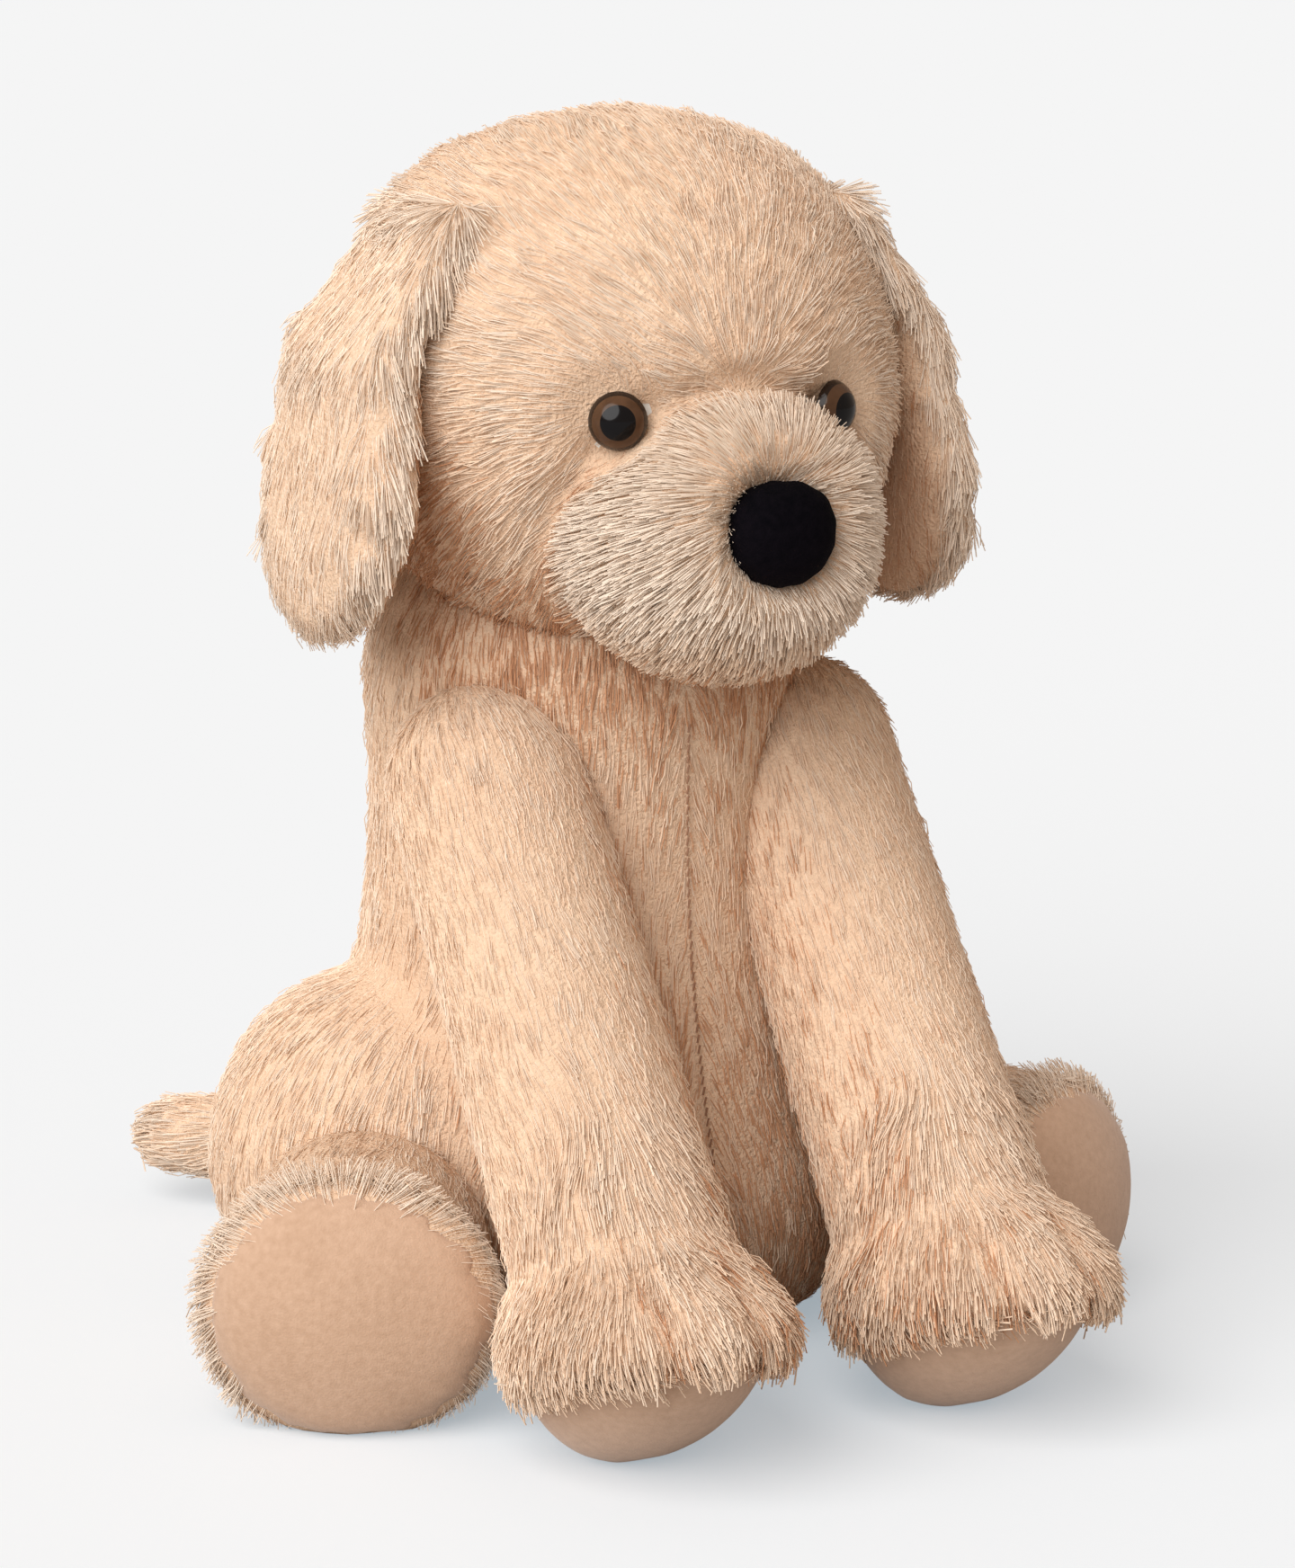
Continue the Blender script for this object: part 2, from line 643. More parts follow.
LIMBS = {"front_leg": (front_leg_lie, 0), "hind_leg": (hind_leg_lie, 2), "ear": (ear_lie, 0)}
write_lie(skins["head"], head_lie, head_zones)
write_lie(skins["torso"], torso_lie, torso_zones)
write_lie(skins["tail"], tail_lie, lambda middles: np.ones(len(middles)))
for side, sign in SIDES.items():
    for limb, (lie, axis) in LIMBS.items():
        write_lie(
            skins[f"{limb}_{side}"],
            lambda p, n, lie=lie, sign=sign: lie(p, n, sign),
            lambda m, limb=limb, axis=axis, sign=sign: limb_zones(limb, axis, across(m, sign)),
        )
print("lie of the pile written on", len(skins), "skins")

# %% [markdown]
# ## Hand shaping
#
# The maker's last touches come after the panels are marked: the limbs are let out, the top of
# each ear is folded over towards the crown, the rim of the muzzle is pulled up into a ridge with a
# crease behind it, and the toes are turned up so that the soles show.

# %% Shape the skins by hand
PLUMP = {
    "torso": 0.0050, "front_leg": 0.0048, "hind_leg": 0.0035, "ear": 0.0025, "head": 0.0045, "tail": 0.0030
}
marked = {body: points_of(piece.data) for body, piece in skins.items()}


def plump_share(body, points, sign):
    """Where a limb is let out in full, 1, and where eyes, nose and soles hold it in, 0."""
    if body == "head":
        share = ramp(from_place(points, nose_centre), 0.011, 0.020)
        for place in eye_middle.values():
            share *= ramp(from_place(points, place), 0.008, 0.020)
        return share
    twin = across(points, sign)
    if body.startswith("front"):
        return ramp(points[:, 2], sole_edge - 0.001, sole_edge + 0.008)
    if body.startswith("hind"):
        return ramp(FOOT_LENGTH - 0.001 - (twin - hip_left) @ foot_way, 0.0, 0.008)
    return np.ones(len(points))


RING_WIDE, RING_HIGH = 0.0405, 0.0375
RIDGE_PULL = np.array([0.0, -0.0055, 0.0025])
MUZZLE_CREASE, EAR_ROOT_RISE = 0.0045, 0.0075
ear_root = np.array([0.052, -0.012, head_centre[2] + 0.050])


def shape_head(points, normals):
    """The ridge round the muzzle, the crease behind it and the rise under each ear's root."""
    x, y, z = points.T
    above_middle = z - muzzle_centre[2]
    face = ramp(head_centre[1] - 0.035 - y, 0.0, 0.015)
    ring = np.sqrt((x / RING_WIDE) ** 2 + (above_middle / RING_HIGH) ** 2)
    above = 0.35 + 0.65 * ramp(above_middle, 0.0, 0.02)
    clear = ramp(from_place(points, nose_centre), 0.012, 0.023)
    ridge = ramp(ring, 1.10, 0.90) * above * clear * face
    crease = near(ring - 1.20, 0.09) * above * face
    twin = np.column_stack([np.abs(x), y, z])
    root = near(from_place(twin, ear_root), 0.026)
    return ridge[:, None] * RIDGE_PULL + normals * (EAR_ROOT_RISE * root - MUZZLE_CREASE * crease)[:, None]


def shape_ear(points, sign):
    """The top of the ear, folded over towards the crown."""
    top = ramp(points[:, 2], points[:, 2].max() - 0.040, points[:, 2].max() - 0.008)[:, None]
    return top * np.array([-0.012 * sign, -0.003, 0.0045])


def shape_paw(points):
    """The toes, turned up."""
    forward = np.clip(paw_centre[1] + 0.004 - points[:, 1], 0.0, None)
    return (0.42 * forward * ramp(0.062 - points[:, 2], 0.0, 0.045))[:, None] * UP


def shape_foot(points, sign):
    """The rim of the foot, spread wider than its root, most on the outer side."""
    twin = across(points, sign)
    side_way = np.array([foot_way[1], -foot_way[0], 0.0])
    aside = (twin - hip_left) @ side_way
    at_rim = ramp((twin - hip_left) @ foot_way, FOOT_LENGTH - 0.035, FOOT_LENGTH - 0.005)
    return across((np.where(aside > 0, 0.16, 0.05) * aside * at_rim)[:, None] * side_way, sign)


for body, piece in skins.items():
    points, normals = points_of(piece.data), normals_of(piece.data)
    sign = side_sign(body)
    plump = next(value for start, value in PLUMP.items() if body.startswith(start))
    shaped = points + normals * (plump * plump_share(body, points, sign))[:, None]
    if body == "head":
        shaped += shape_head(points, normals)
    elif body.startswith("ear"):
        shaped += shape_ear(points, sign)
    elif body.startswith("front"):
        shaped += shape_paw(points)
    elif body.startswith("hind"):
        shaped += shape_foot(points, sign)
    shaped[:, 2] = np.maximum(shaped[:, 2], 0.0)
    set_points(piece.data, shaped)
print("let out by, mm:", {start: round(value * 1000, 1) for start, value in PLUMP.items()})

# %% [markdown]
# ## The pile
#
# A strand is a hair of cut fibre, thick at its root, leaned over by the brush and pointed at its
# tip.  It is drawn from a curve with a three-sided profile, straight for the undercoat and bent for
# a few longer ones, and Geometry Nodes plant both over the skin.  Neighbouring strands lean together
# in tufts, which makes plush look soft rather than bristly, so the lean is stirred by a noise as
# wide as a tuft and by a broader one that swirls the whole coat.

# %% A small helper for node trees
class Tree:
    """Adds nodes to a Geometry Nodes tree, each with its settings and its inputs."""

    def __init__(self, name):
        self.group = bpy.data.node_groups.new(name, "GeometryNodeTree")
        self.group.interface.new_socket("Geometry", in_out="INPUT", socket_type="NodeSocketGeometry")
        self.group.interface.new_socket("Geometry", in_out="OUTPUT", socket_type="NodeSocketGeometry")
        self.source = self.group.nodes.new("NodeGroupInput")
        self.result = self.group.nodes.new("NodeGroupOutput")

    def ask(self, name, kind):
        """A named input of the whole tree."""
        self.group.interface.new_socket(name, in_out="INPUT", socket_type=f"NodeSocket{kind}")
        return self.source.outputs[name]

    def add(self, kind, inputs=(), output=0, **settings):
        node = self.group.nodes.new(kind)
        for name, value in settings.items():
            setattr(node, name, value)
        for where, value in dict(inputs).items():
            socket = node.inputs[where]
            if isinstance(value, bpy.types.NodeSocket):
                self.group.links.new(value, socket)
            else:
                socket.default_value = value
        return node.outputs[output]

    def math(self, operation, *values):
        return self.add("ShaderNodeMath", enumerate(values), operation=operation)

    def times(self, *values):
        return self.math("MULTIPLY", *values)

    def plus(self, *values):
        return self.math("ADD", *values)

    def minus(self, *values):
        return self.math("SUBTRACT", *values)

    def vector(self, operation, *values):
        return self.add("ShaderNodeVectorMath", enumerate(values), operation=operation)

    def scaled(self, vector, factor):
        return self.add("ShaderNodeVectorMath", {0: vector, "Scale": factor}, operation="SCALE")

    def kept(self, geometry, name, value, kind):
        """The geometry with a value stored on its points under a name."""
        stored = {"Geometry": geometry, "Name": name, "Value": value}
        return self.add("GeometryNodeStoreNamedAttribute", stored, data_type=kind, domain="POINT")

    def attribute(self, name, kind):
        return self.add("GeometryNodeInputNamedAttribute", {"Name": name}, data_type=kind)

    def noise(self, scale, output="Color", detail=1.0):
        return self.add("ShaderNodeTexNoise", {"Scale": scale, "Detail": detail}, output=output)

    def random(self, least, most, seed):
        limits = {2: least, 3: most, "Seed": seed}
        return self.add("FunctionNodeRandomValue", limits, output=1, data_type="FLOAT")

    def finish(self, socket):
        self.group.links.new(socket, self.result.inputs[0])
        return self.group


# %% The tree that plants the pile
BEND_OVER, BEND_DOWN = 0.62, -0.22


def strand(tree, thickness, rings):
    """One pointed strand of unit height, bent when it has more than two rings."""
    line = tree.add("GeometryNodeCurvePrimitiveLine", {"Start": (0, 0, 0), "End": (0, 0, 1)})
    line = tree.add("GeometryNodeResampleCurve", {"Curve": line, "Count": rings})
    factor = tree.add("GeometryNodeSplineParameter")
    square = tree.times(factor, factor)
    over, down = tree.times(square, BEND_OVER), tree.times(square, BEND_DOWN)
    bend = tree.add("ShaderNodeCombineXYZ", {"X": over, "Z": down})
    line = tree.add("GeometryNodeSetPosition", {"Geometry": line, "Offset": bend})
    taper = tree.minus(1.0, square)
    line = tree.add("GeometryNodeSetCurveRadius", {"Curve": line, "Radius": taper})
    ring = tree.add("GeometryNodeCurvePrimitiveCircle", {"Resolution": 3, "Radius": thickness})
    tube = tree.add("GeometryNodeCurveToMesh", {"Curve": line, "Profile Curve": ring, "Fill Caps": True})
    return tree.add("GeometryNodeMergeByDistance", {"Geometry": tube, "Distance": 1e-5})


FLOOR_GAP = 0.0006


def pile_tree():
    tree = Tree("plush_pile")
    zone, seed = tree.ask("Zone", "Int"), tree.ask("Seed", "Int")
    numbers = ("Density", "Length", "Thickness", "Lean", "Tuft", "Swirl", "Short")
    density, length, thickness, lean, tuft, swirl, short = (tree.ask(n, "Float") for n in numbers)
    both = {2: tree.attribute("zone", "INT"), 3: zone}
    chosen = tree.add("FunctionNodeCompare", both, data_type="INT", operation="EQUAL")
    cover = tree.times(density, tree.attribute("cover", "FLOAT"))
    spread = tree.group.nodes.new("GeometryNodeDistributePointsOnFaces")
    spread.distribute_method = "RANDOM"
    fed = {"Mesh": tree.source.outputs["Geometry"], "Selection": chosen, "Density": cover, "Seed": seed}
    for socket, value in fed.items():
        tree.group.links.new(value, spread.inputs[socket])
    normal = spread.outputs["Normal"]
    points = tree.kept(spread.outputs["Points"], "root_normal", normal, "FLOAT_VECTOR")
    normal = tree.attribute("root_normal", "FLOAT_VECTOR")
    comb = tree.attribute("comb", "FLOAT_VECTOR")
    centred = (-0.5, -0.5, -0.5)
    tufts = tree.scaled(tree.vector("ADD", tree.noise(170.0), centred), tuft)
    fine = tree.scaled(tree.vector("ADD", tree.noise(700.0), centred), tree.times(tuft, 0.3))
    swirls = tree.scaled(tree.vector("ADD", tree.noise(38.0), centred), swirl)
    stirred = tree.vector("ADD", tree.vector("ADD", tufts, fine), swirls)
    way = tree.vector("ADD", tree.scaled(comb, 0.55), stirred)
    into_skin = tree.add("ShaderNodeVectorMath", {0: way, 1: normal}, output=1, operation="DOT_PRODUCT")
    way = tree.vector("NORMALIZE", tree.vector("SUBTRACT", way, tree.scaled(normal, into_skin)))
    lean = tree.times(lean, tree.minus(1.0, tree.attribute("lift", "FLOAT")))
    wave = tree.times(tree.minus(tree.noise(140.0, "Fac"), 0.5), 0.5)
    rise = tree.plus(tree.plus(lean, wave), tree.random(-0.08, 0.08, 5))
    out, over = tree.math("COSINE", rise), tree.math("SINE", rise)
    upright = tree.vector("ADD", tree.scaled(normal, out), tree.scaled(way, over))
    axes = {"Primary Axis": upright, "Secondary Axis": way}
    turn = tree.add("FunctionNodeAxesToRotation", axes, primary_axis="Z", secondary_axis="X")
    which_kind = tree.math("LESS_THAN", tree.random(0.0, 1.0, 19), short)
    trim = tree.minus(1.0, tree.times(which_kind, 0.12))
    tall = tree.times(length, tree.attribute("pile", "FLOAT"))
    tall = tree.times(tall, tree.random(0.82, 1.08, 7))
    tall = tree.times(tall, trim)
    wide = tree.times(tall, tree.random(0.6, 1.35, 11))
    scale = tree.add("ShaderNodeCombineXYZ", {"X": wide, "Y": tall, "Z": tall})
    drift = tree.times(tree.noise(110.0, "Fac", 2.0), 0.3)
    tone = tree.plus(drift, tree.random(0.15, 0.45, 13))
    tone = tree.minus(tone, tree.times(tree.attribute("shelter", "FLOAT"), 0.42))
    points = tree.kept(points, "tone", tone, "FLOAT")
    kinds = tree.group.nodes.new("GeometryNodeGeometryToInstance")
    for rings in (2, 3):
        tree.group.links.new(strand(tree, thickness, rings), kinds.inputs[0])
    planting = {"Points": points, "Instance": kinds.outputs[0], "Rotation": turn, "Scale": scale}
    planting.update({"Pick Instance": True, "Instance Index": which_kind})
    planted = tree.add("GeometryNodeInstanceOnPoints", planting)
    coat = tree.add("GeometryNodeRealizeInstances", {"Geometry": planted})
    place = tree.add("GeometryNodeInputPosition")
    parts = tree.group.nodes.new("ShaderNodeSeparateXYZ")
    tree.group.links.new(place, parts.inputs[0])
    height = tree.math("MAXIMUM", parts.outputs[2], FLOOR_GAP)
    over_floor = tree.add("ShaderNodeCombineXYZ", {"X": parts.outputs[0], "Y": parts.outputs[1], "Z": height})
    coat = tree.add("GeometryNodeSetPosition", {"Geometry": coat, "Position": over_floor})
    coat = tree.add("GeometryNodeSetMaterial", {"Geometry": coat, "Material": pile_mid})
    tone = tree.attribute("tone", "FLOAT")
    for material, operation, limit in (
        (pile_shade, "LESS_THAN", 0.37),
        (pile_light, "GREATER_THAN", 0.53),
        (pile_deep, "LESS_THAN", 0.16),
    ):
        which = tree.math(operation, tone, limit)
        painted = {"Geometry": coat, "Selection": which, "Material": material}
        coat = tree.add("GeometryNodeSetMaterial", painted)
    return tree.finish(coat)


pile_nodes = pile_tree()
print("pile tree:", len(pile_nodes.nodes), "nodes")

# %% Plant the pile, panel by panel
DENSITY = 680000.0
PLANTING = {
    "Density": DENSITY,
    "Length": 0.0098,
    "Thickness": 0.0225,
    "Lean": 0.5,
    "Tuft": 0.9,
    "Swirl": 0.5,
    "Short": 0.95,
}


def set_inputs(modifier, **values):
    """Sets a tree's inputs by the identifiers of their sockets."""
    for socket in modifier.node_group.interface.items_tree:
        if socket.in_out == "INPUT" and socket.name in values:
            modifier[socket.identifier] = values[socket.name]


def plant(name, skin, body, zone, seed, **sizes):
    """The pile of one panel as a plain mesh; a style's density and thickness are shares."""
    modifier = skin.modifiers.new("pile", "NODES")
    modifier.node_group = pile_nodes
    values = dict(PLANTING)
    for share in ("Density", "Thickness"):
        values[share] *= sizes.pop(share, 1.0)
    values.update(sizes)
    set_inputs(modifier, Zone=zone, Seed=seed, **values)
    graph = bpy.context.evaluated_depsgraph_get()
    mesh = bpy.data.meshes.new_from_object(skin.evaluated_get(graph))
    skin.modifiers.remove(modifier)
    for attribute in [a.name for a in mesh.attributes if a.name in ("tone", "root_normal", "comb", *LIE)]:
        mesh.attributes.remove(mesh.attributes[attribute])
    mesh.shade_smooth()
    piece = mesh_object(name, mesh)
    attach(piece, body)
    return piece


STYLES = {
    "head_gusset": {"Lean": 0.95, "Tuft": 0.55},
    "head_side": {"Lean": 0.95, "Tuft": 0.55},
    "muzzle": {"Lean": 1.03, "Tuft": 0.3, "Swirl": 0.3, "Density": 1.35, "Thickness": 0.9},
    "chin": {"Lean": 0.98, "Tuft": 0.45, "Density": 1.2},
    "ear": {"Lean": 1.10, "Tuft": 0.5, "Length": 0.0125, "Thickness": 0.8, "Density": 1.15},
    "chest": {"Lean": 1.0, "Tuft": 0.45, "Swirl": 0.35},
    "back": {"Lean": 1.02, "Tuft": 0.5, "Density": 0.85},
    "haunch": {"Lean": 1.03, "Tuft": 0.45},
    "front_leg": {"Lean": 0.98, "Tuft": 0.45, "Swirl": 0.4, "Thickness": 0.9},
    "hind_leg": {"Lean": 1.05, "Tuft": 0.6, "Length": 0.0115, "Thickness": 0.8, "Density": 1.1},
    "tail": {"Lean": 1.00, "Tuft": 0.5, "Length": 0.0115},
}


def style_of(name):
    return next(style for start, style in STYLES.items() if name.startswith(start))


PANELS = {
    "head": ["head_gusset_pile", "head_side_pile_left", "head_side_pile_right", "muzzle_pile", "chin_pile"],
    "torso": [f"{panel}_pile_{side}" for panel in ("chest", "back", "haunch") for side in SIDES],
    "tail": ["tail_pile"],
}
for side in SIDES:
    for limb, pair in (
        ("front_leg", ("front_leg_outer", "front_leg_inner")),
        ("hind_leg", ("hind_leg_upper", "hind_leg_lower")),
        ("ear", ("ear_cover", "ear_lining")),
    ):
        PANELS[f"{limb}_{side}"] = [f"{panel}_pile_{side}" for panel in pair]
coats = []
for body, names in PANELS.items():
    for zone, name in enumerate(names, 1):
        coats.append(plant(name, skins[body], body, zone, seed=17 * len(coats) + 3, **style_of(name)))
triangles = {piece.name: sum(len(f.vertices) - 2 for f in piece.data.polygons) for piece in coats}
print("pile:", sum(triangles.values()), "triangles;", triangles)

# %% [markdown]
# ## Soles
#
# Each sole is a pad of brushed suede cloth sewn into the end of the foot, smooth where the rest
# is shaggy.  It is cut from the skin it lies on: the faces inside the seam are copied, lifted half
# a millimetre, given a thickness and rounded with one subdivision, so that it follows the swell of
# the foot exactly.

# %% Soles cut from the skins
SOLE_LIFT, SOLE_THICKNESS = 0.0006, 0.0022


def rounded(piece, material):
    """The piece after one subdivision, in its cloth."""
    modifier = piece.modifiers.new("rounded", "SUBSURF")
    modifier.levels = modifier.render_levels = 1
    return dressed(applied(piece), material)


def dressed(piece, material):
    piece.data.materials.append(material)
    piece.data.shade_smooth()
    return piece


def sole_from(name, body, inside):
    """A closed pad over the part of a skin whose points, as they were marked, are inside."""
    mesh = skins[body].data
    points, normals = points_of(mesh), normals_of(mesh)
    piece = mesh_object(name, kept_part(name, mesh, points + normals * SOLE_LIFT, inside(marked[body])))
    thick = piece.modifiers.new("thick", "SOLIDIFY")
    thick.thickness = SOLE_THICKNESS
    thick.offset = -1.0
    rounded(piece, suede)
    points = points_of(piece.data)
    points[:, 2] = np.maximum(points[:, 2], 0.0)
    set_points(piece.data, points)
    return piece


soles = {}
for side, sign in SIDES.items():
    front = sole_from(f"front_sole_pad_{side}", f"front_leg_{side}", lambda p: p[:, 2] < sole_edge + 0.004)
    hind = sole_from(
        f"hind_sole_pad_{side}",
        f"hind_leg_{side}",
        lambda p, sign=sign: (across(p, sign) - hip_left) @ foot_way > FOOT_LENGTH - 0.006,
    )
    soles[side] = (front, hind)
print("soles:", {piece.name: len(piece.data.polygons) for pair in soles.values() for piece in pair})

# %% [markdown]
# ## Nose
#
# The nose is a small cushion of black velvet, nearly round, a little narrower below, with its
# cloth gathered at the rim where it is sewn down.  It is built as a ball of latitude rings whose
# width follows the height, with shallow gathers that deepen towards the seam.

# %% Nose cushion
def rings_to_mesh(name, rings, first, last):
    """A closed surface through rings of points, capped by a point at each end."""
    count = len(rings[0])
    points = [first] + [p for ring in rings for p in ring] + [last]
    faces = [(0, 1 + (i + 1) % count, 1 + i) for i in range(count)]
    for r in range(len(rings) - 1):
        for i in range(count):
            a, b = 1 + r * count + i, 1 + r * count + (i + 1) % count
            faces.append((a, b, b + count, a + count))
    start = 1 + (len(rings) - 1) * count
    faces += [(start + i, start + (i + 1) % count, len(points) - 1) for i in range(count)]
    mesh = bpy.data.meshes.new(name)
    mesh.from_pydata([tuple(map(float, p)) for p in points], [], faces)
    return mesh


def outward(mesh):
    """Turns every face outwards."""
    work = bmesh.new()
    work.from_mesh(mesh)
    bmesh.ops.recalc_face_normals(work, faces=work.faces)
    work.to_mesh(mesh)
    work.free()
    return mesh


NOSE_RINGS, NOSE_SIDES, GATHERS = 22, 48, 13
NOSE_SQUARENESS, GATHER_DEPTH = 2.35, 0.022


def nose_ring(part):
    """One ring of the nose, part way from its front to its back."""
    angle = math.pi * part
    ring = []
    for i in range(NOSE_SIDES):
        turn = 2 * math.pi * i / NOSE_SIDES
        x, z = math.cos(turn), math.sin(turn)
        corner = (abs(x) ** NOSE_SQUARENESS + abs(z) ** NOSE_SQUARENESS) ** (-1 / NOSE_SQUARENESS)
        x, z = x * corner, z * corner
        narrow = 1.0 - 0.16 * max(-z, 0.0) ** 1.5 + 0.03 * max(z, 0.0)
        gather = 1.0 - GATHER_DEPTH * math.sin(angle) ** 4 * math.cos(GATHERS * turn)
        reach = math.sin(angle) ** 0.82 * gather
        ring.append(nose_centre + nose_half * np.array([x * narrow * reach, -math.cos(angle), z * reach]))
    return ring


def nose_cushion():
    rings = [nose_ring((r + 1) / (NOSE_RINGS + 1)) for r in range(NOSE_RINGS)]
    tip = nose_centre - nose_half * np.array([0.0, 1.0, 0.0])
    back = nose_centre + nose_half * np.array([0.0, 1.0, 0.0])
    piece = mesh_object("nose_cushion", outward(rings_to_mesh("nose_cushion", rings, tip, back)))
    return rounded(piece, velvet)


nose = nose_cushion()
print("nose:", len(nose.data.polygons), "faces")

# %% [markdown]
# ## Eyes
#
# A safety eye is one moulding of glossy plastic: a black pupil, a brown iris round it that
# darkens to a thin black rim, and a shank through the cloth.  Each colour has its own rings of
# faces, so its edge stays sharp at any distance, and a clear coat carries the reflections.

# %% Eye plastics
def glossy(name, colour):
    material = plain(name, colour, 0.15, specular=0.15)
    shader = material.node_tree.nodes["Principled BSDF"]
    shader.inputs["Coat Weight"].default_value = 0.2
    shader.inputs["Coat Roughness"].default_value = 0.02
    return material


def iris_plastic():
    """Brown plastic with a faint cloudiness."""
    material = glossy("eye_iris", (0.10, 0.055, 0.030))
    tree = material.node_tree
    place = tree.nodes.new("ShaderNodeTexCoord").outputs["Object"]
    cloud = wired(tree, "ShaderNodeTexNoise", Vector=place, Scale=260.0)
    tinted(tree, cloud.outputs["Fac"], (0.050, 0.024, 0.012), (0.115, 0.058, 0.030))
    return material


pupil_plastic = glossy("eye_pupil", (0.003, 0.003, 0.004))
iris = iris_plastic()
rim_plastic = glossy("eye_rim", (0.020, 0.011, 0.007))

# %% Turned eyes
EYE_RADIUS, EYE_DOME, EYE_SIDES = 0.0082, 0.0060, 40
PUPIL_SHARE, IRIS_SHARE = 0.60, 0.88
SHANK_RADIUS, SHANK_LENGTH, SEAT_GAP = 0.0022, 0.015, 0.0002


def eye_profile():
    """(radius, height above the seat, material number) from the pole to the end of the shank."""
    ball = (EYE_RADIUS**2 + EYE_DOME**2) / (2 * EYE_DOME)
    shares = [0.14, 0.28, 0.42, PUPIL_SHARE, 0.64, 0.72, 0.80, IRIS_SHARE, 0.94, 0.98, 1.0]
    profile = []
    for share in shares:
        radius = share * EYE_RADIUS
        drop = ball - math.sqrt(ball**2 - radius**2)
        kind = 0 if share <= PUPIL_SHARE else 1 if share <= IRIS_SHARE else 2
        profile.append((radius, EYE_DOME - drop, kind))
    profile += [(SHANK_RADIUS, 0.0, 2), (SHANK_RADIUS, -SHANK_LENGTH, 2)]
    return profile


def turned_eye(side, sign):
    look = eye_look[side]
    seat = eye_middle[side] + look * SEAT_GAP
    across_eye = np.array([math.cos(EYE_TURN), sign * math.sin(EYE_TURN), 0.0])
    profile = eye_profile()
    rings = []
    for radius, height, _ in profile:
        turns = [2 * math.pi * i / EYE_SIDES for i in range(EYE_SIDES)]
        spokes = [across_eye * math.cos(t) + UP * math.sin(t) for t in turns]
        rings.append([seat + look * height + radius * spoke for spoke in spokes])
    mesh = rings_to_mesh(f"eye_moulding_{side}", rings, seat + look * EYE_DOME, seat - look * SHANK_LENGTH)
    for material in (pupil_plastic, iris, rim_plastic):
        mesh.materials.append(material)
    kinds = [0] * EYE_SIDES
    for _, _, kind in profile[1:]:
        kinds += [kind] * EYE_SIDES
    kinds += [2] * EYE_SIDES
    mesh.polygons.foreach_set("material_index", kinds)
    piece = mesh_object(f"eye_moulding_{side}", outward(mesh))
    mesh.shade_smooth()
    mesh.set_sharp_from_angle(angle=math.radians(40.0))
    return piece


eyes = {side: turned_eye(side, sign) for side, sign in SIDES.items()}
print("eyes:", {side: len(piece.data.polygons) for side, piece in eyes.items()})

# %% [markdown]
# ## What is inside
#
# The neck holds a firm ball of fibre and the seat a small bag of pellets.  Neither shows, but both
# are soft things too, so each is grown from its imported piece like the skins.

# %% Neck wad and pellet bag
fibre = grained("fibre_wad", (0.78, 0.77, 0.73), (0.92, 0.91, 0.89), 500.0, 0.95, 0.9, 0.0015)
ticking = grained("pellet_bag_cloth", (0.62, 0.60, 0.54), (0.78, 0.76, 0.70), 1100.0, 0.9, 0.5, 0.0008)
washer_plastic = grained("washer_moulding", (0.78, 0.78, 0.74), (0.86, 0.86, 0.83), 700.0, 0.5, 0.1, 0.0003)


LUMP_WAVES = np.array([[310.0, 170.0, 90.0], [-120.0, 260.0, 210.0]]).T


def inner_piece(name, node, body, material):
    piece = skin_from(name, [node], 3)
    points = points_of(piece.data)
    middle = points.mean(0)
    lumps = np.sin(points @ LUMP_WAVES).prod(1)
    set_points(piece.data, middle + (points - middle) * (0.975 + 0.015 * lumps[:, None]))
    dressed(piece, material)
    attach(piece, body)
    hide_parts(node)
    return piece


inner_piece("neck_wad", "neck_stuffing", "neck", fibre)
inner_piece("pellet_bag", "seat_pellet_bag", "torso", ticking)
for side in SIDES:
    washer = frame["nodes"][f"eye_washer_{side}"].data
    washer.materials.clear()
    washer.materials.append(washer_plastic)
print("inner pieces: neck wad and pellet bag")

# %% [markdown]
# ## The closing seam
#
# The body is stuffed through a gap in the chest seam, which is then drawn shut by hand with short
# stitches.  The pile is parted there, so they show as a fine dark line.  One stitch is drawn, and
# Geometry Nodes lay it along a curve that runs down the chest.

# %% Stitches down the chest
STITCH_PITCH, STITCH_LENGTH, STITCH_RADIUS, STITCH_PROUD = 0.0030, 0.0024, 0.00030, 0.0012
SEAM_FOOT, SEAM_TOP = 0.05, 0.19


def chest_line():
    """Points down the middle of the chest, a little proud of the skin."""
    points = points_of(skins["torso"].data)
    x, y, z = points.T
    front = (np.abs(x) < 0.004) & (y < 0) & (z > SEAM_FOOT) & (z < SEAM_TOP)
    front &= from_place(points, head_centre) > head_radius + 0.002
    order = np.argsort(-points[front][:, 2])
    line = points[front][order] * np.array([0.0, 1.0, 1.0]) + np.array([0.0, -STITCH_PROUD, 0.0])
    return line[::6]


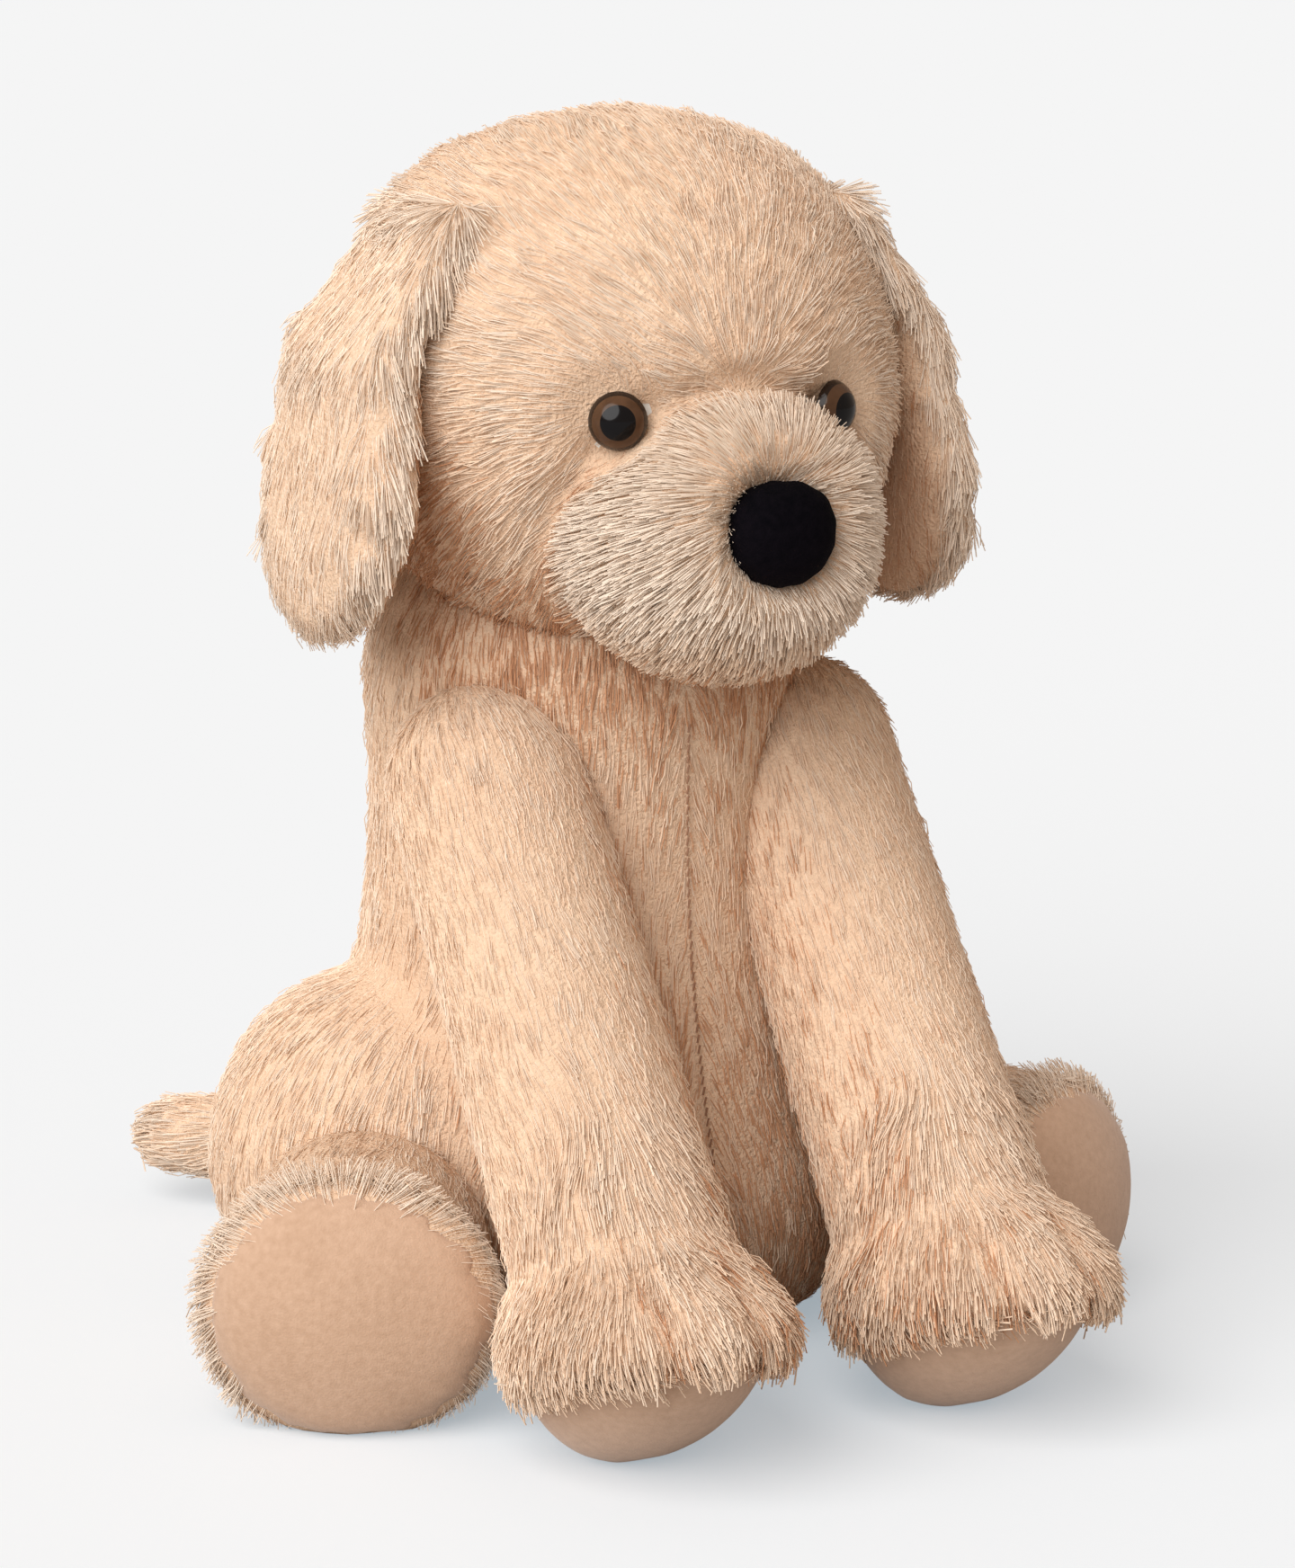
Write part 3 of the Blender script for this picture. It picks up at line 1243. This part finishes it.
def stitch_tree():
    tree = Tree("chest_stitches")
    pitch, length, thickness = (tree.ask(name, "Float") for name in ("Pitch", "Stitch", "Thread"))
    line = tree.add("GeometryNodeMeshToCurve", {"Mesh": tree.source.outputs["Geometry"]})
    spots = tree.add("GeometryNodeCurveToPoints", {"Curve": line, "Length": pitch}, mode="LENGTH")
    slant = tree.times(length, 0.12)
    start = tree.add("ShaderNodeCombineXYZ", {"X": tree.times(slant, -1.0)})
    end = tree.add("ShaderNodeCombineXYZ", {"X": slant, "Z": length})
    stitch = tree.add("GeometryNodeCurvePrimitiveLine", {"Start": start, "End": end})
    ring = tree.add("GeometryNodeCurvePrimitiveCircle", {"Resolution": 6, "Radius": thickness})
    tube = tree.add("GeometryNodeCurveToMesh", {"Curve": stitch, "Profile Curve": ring, "Fill Caps": True})
    laid = tree.add("GeometryNodeInstanceOnPoints", {"Points": spots, "Instance": tube})
    laid = tree.add("GeometryNodeRealizeInstances", {"Geometry": laid})
    return tree.finish(tree.add("GeometryNodeSetMaterial", {"Geometry": laid, "Material": thread}))


def chest_stitches():
    line = chest_line()
    mesh = bpy.data.meshes.new("chest_stitches")
    mesh.from_pydata(line.tolist(), [(i, i + 1) for i in range(len(line) - 1)], [])
    piece = mesh_object("chest_stitches", mesh)
    modifier = piece.modifiers.new("stitches", "NODES")
    modifier.node_group = stitch_tree()
    set_inputs(modifier, Pitch=STITCH_PITCH, Stitch=STITCH_LENGTH, Thread=STITCH_RADIUS)
    applied(piece)
    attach(piece, "torso")
    return piece


stitches = chest_stitches()
print("stitches:", len(stitches.data.polygons), "faces")

# %% [markdown]
# ## Finish the skins
#
# Under the pile each skin wears the colour of the plush's woven back.  The skins stand for the
# sewn panels and for their filling together, and are declared as padded pieces.

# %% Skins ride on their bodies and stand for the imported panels
for body, piece in skins.items():
    for attribute in ("comb", "zone", *LIE):
        piece.data.attributes.remove(piece.data.attributes[attribute])
    piece.data.materials.clear()
    dressed(piece, backing)
    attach(piece, body)

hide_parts(*[n for n in bodies["torso"] if "pellet" not in n])
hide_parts(*head_nodes)
for side in SIDES:
    for limb in (f"front_leg_{side}", f"hind_leg_{side}", f"ear_{side}"):
        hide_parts(*[n for n in bodies[limb] if "sole" not in n])
    for piece, foot in zip(soles[side], ("front", "hind")):
        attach(piece, f"{foot}_leg_{side}")
        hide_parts(f"{foot}_sole_{side}")
    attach(eyes[side], "head")
    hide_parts(f"eye_{side}")
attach(nose, "head")
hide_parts("nose_cover", "nose_filling")
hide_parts(*bodies["tail"])

# %% [markdown]
# ## Floor, light and camera
#
# The toy sits on a plain pale sweep that glows a little for the camera only, so that its shadow is
# faint.  One broad soft light stands high on one side, as in a studio, and a warm surround fills
# the shadows.

# %% Floor
FLOOR_REACH = 30.0


def stage_floor():
    mesh = bpy.data.meshes.new("floor")
    corners = [(x * FLOOR_REACH, y * FLOOR_REACH, 0) for x, y in ((-1, -1), (1, -1), (1, 1), (-1, 1))]
    mesh.from_pydata(corners, [], [(0, 1, 2, 3)])
    piece = mesh_object("floor", mesh)
    material = plain("studio_floor", (0.54, 0.54, 0.54), 0.9, specular=0.0)
    shader = material.node_tree.nodes["Principled BSDF"]
    shader.inputs["Emission Color"].default_value = (0.350, 0.401, 0.438, 1.0)
    rays = material.node_tree.nodes.new("ShaderNodeLightPath")
    material.node_tree.links.new(rays.outputs["Is Camera Ray"], shader.inputs["Emission Strength"])
    mesh.materials.append(material)


stage_floor()

# %% Light
world = bpy.data.worlds.new("studio")
bpy.context.scene.world = world
world.use_nodes = True
studio = world.node_tree
surround = studio.nodes["Background"]
surround.inputs["Color"].default_value = (1.0, 0.79, 0.64, 1.0)
surround.inputs["Strength"].default_value = 0.45
backdrop = wired(studio, "ShaderNodeBackground", Color=(0.913, 0.913, 0.913, 1.0))
rays = studio.nodes.new("ShaderNodeLightPath")
choice = wired(studio, "ShaderNodeMixShader", Fac=rays.outputs["Is Camera Ray"])
studio.links.new(surround.outputs[0], choice.inputs[1])
studio.links.new(backdrop.outputs[0], choice.inputs[2])
studio.links.new(choice.outputs[0], studio.nodes["World Output"].inputs["Surface"])


def sun(name, way, strength, spread):
    """A soft sun shining along a direction."""
    lamp = bpy.data.lights.new(name, "SUN")
    lamp.energy = strength
    lamp.angle = math.radians(spread)
    holder = bpy.data.objects.new(name, lamp)
    holder.rotation_euler = Vector(way).to_track_quat("-Z", "Y").to_euler()
    bpy.context.scene.collection.objects.link(holder)


sun("key_light", (0.70, 0.40, -0.59), 3.15, 62.0)
print("light: one soft sun and an even surround")

# %% Camera
VIEW_TURN, VIEW_RISE, VIEW_DISTANCE = math.radians(-26.0), math.radians(11.5), 1.3
SENSOR, LENS = 36.0, 120.25
AIM_SIDE, AIM_HEIGHT = 0.0177, 0.1593
view_right = np.array([math.cos(VIEW_TURN), math.sin(VIEW_TURN), 0.0])
level_way = np.array([-math.sin(VIEW_TURN), math.cos(VIEW_TURN), 0.0])
view_way = level_way * math.cos(VIEW_RISE) + DOWN * math.sin(VIEW_RISE)
target = view_right * AIM_SIDE + UP * AIM_HEIGHT
lens = bpy.data.cameras.new("camera")
lens.sensor_fit = "HORIZONTAL"
lens.sensor_width = SENSOR
lens.lens = LENS
lens.clip_end = 100.0
camera = bpy.data.objects.new("camera", lens)
camera.location = target - view_way * VIEW_DISTANCE
camera.rotation_euler = Vector(view_way).to_track_quat("-Z", "Y").to_euler()
bpy.context.scene.collection.objects.link(camera)
bpy.context.scene.camera = camera
bpy.context.scene.view_settings.view_transform = "Standard"
